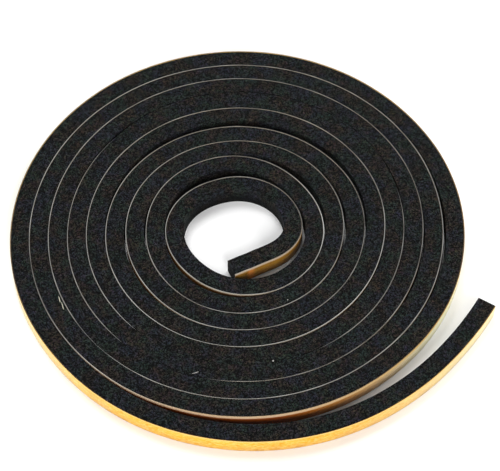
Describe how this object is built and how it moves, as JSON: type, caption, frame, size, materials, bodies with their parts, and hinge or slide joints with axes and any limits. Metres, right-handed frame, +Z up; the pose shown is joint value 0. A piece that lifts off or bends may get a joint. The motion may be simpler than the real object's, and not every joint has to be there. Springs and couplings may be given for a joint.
{
  "type": "hob seal",
  "caption": "Loose flat coil of black foam sealing strip, nearly square in section, with a yellow release liner on its glued face, for sealing a hob into a worktop.",
  "frame": {"origin": "middle of the coil's box, on the level floor that the coil lies on", "axes": "+Z up out of the coil's flat side, +X along the longest way across, towards the side where the free tail ends; the strip runs anticlockwise from its inner end seen from above"},
  "size_m": [0.166, 0.1638, 0.0066],
  "materials": {
    "black_foam": "matte black cellular foam",
    "release_paper": "smooth golden yellow coated paper"
  },
  "bodies": {
    "root": {"foam_strip": "black_foam", "release_liner": "release_paper"}
  },
  "joints": []
}
